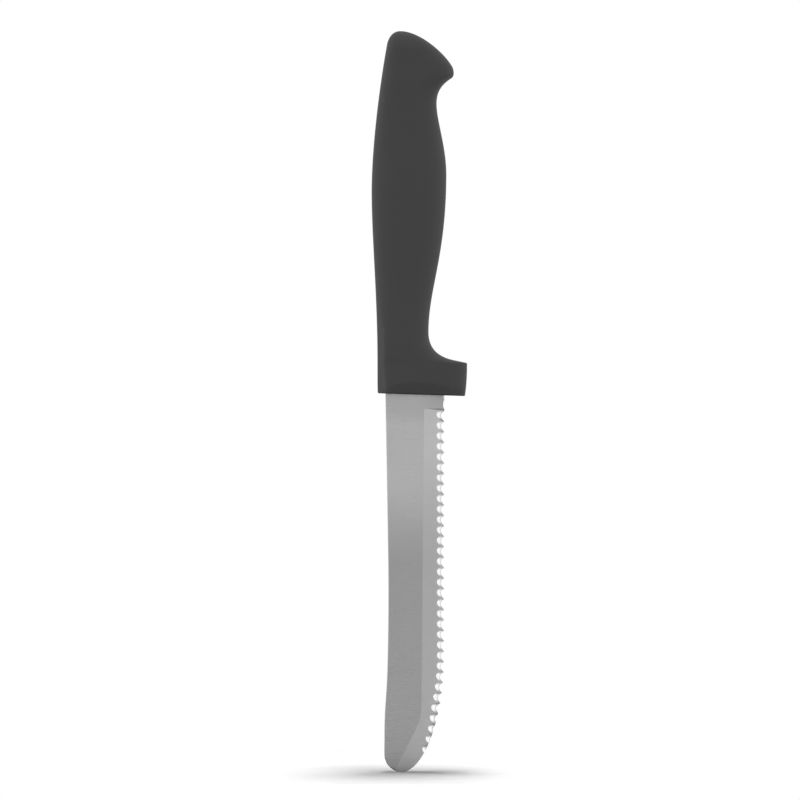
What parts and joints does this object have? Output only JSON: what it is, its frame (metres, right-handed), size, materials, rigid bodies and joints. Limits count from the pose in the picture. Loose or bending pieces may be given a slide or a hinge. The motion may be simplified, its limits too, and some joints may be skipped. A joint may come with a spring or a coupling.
{
  "type": "serrated table knife",
  "caption": "Round-tipped serrated table knife: ground steel blade with a scalloped edge, its tang moulded into a matt plastic handle with finger guard and hooked pommel.",
  "frame": {"origin": "under the middle of the knife's outline, at the height of the blade's tip", "axes": "+Z along the knife from tip to butt, +X towards the cutting edge and finger guard, -Y out of the scalloped face"},
  "size_m": [0.0278, 0.0148, 0.216],
  "materials": {
    "blade_steel": "fine ground, satin",
    "handle_plastic": "fine spark-eroded, matt"
  },
  "bodies": {
    "root": {"blade": "blade_steel", "handle": "handle_plastic"}
  },
  "joints": []
}
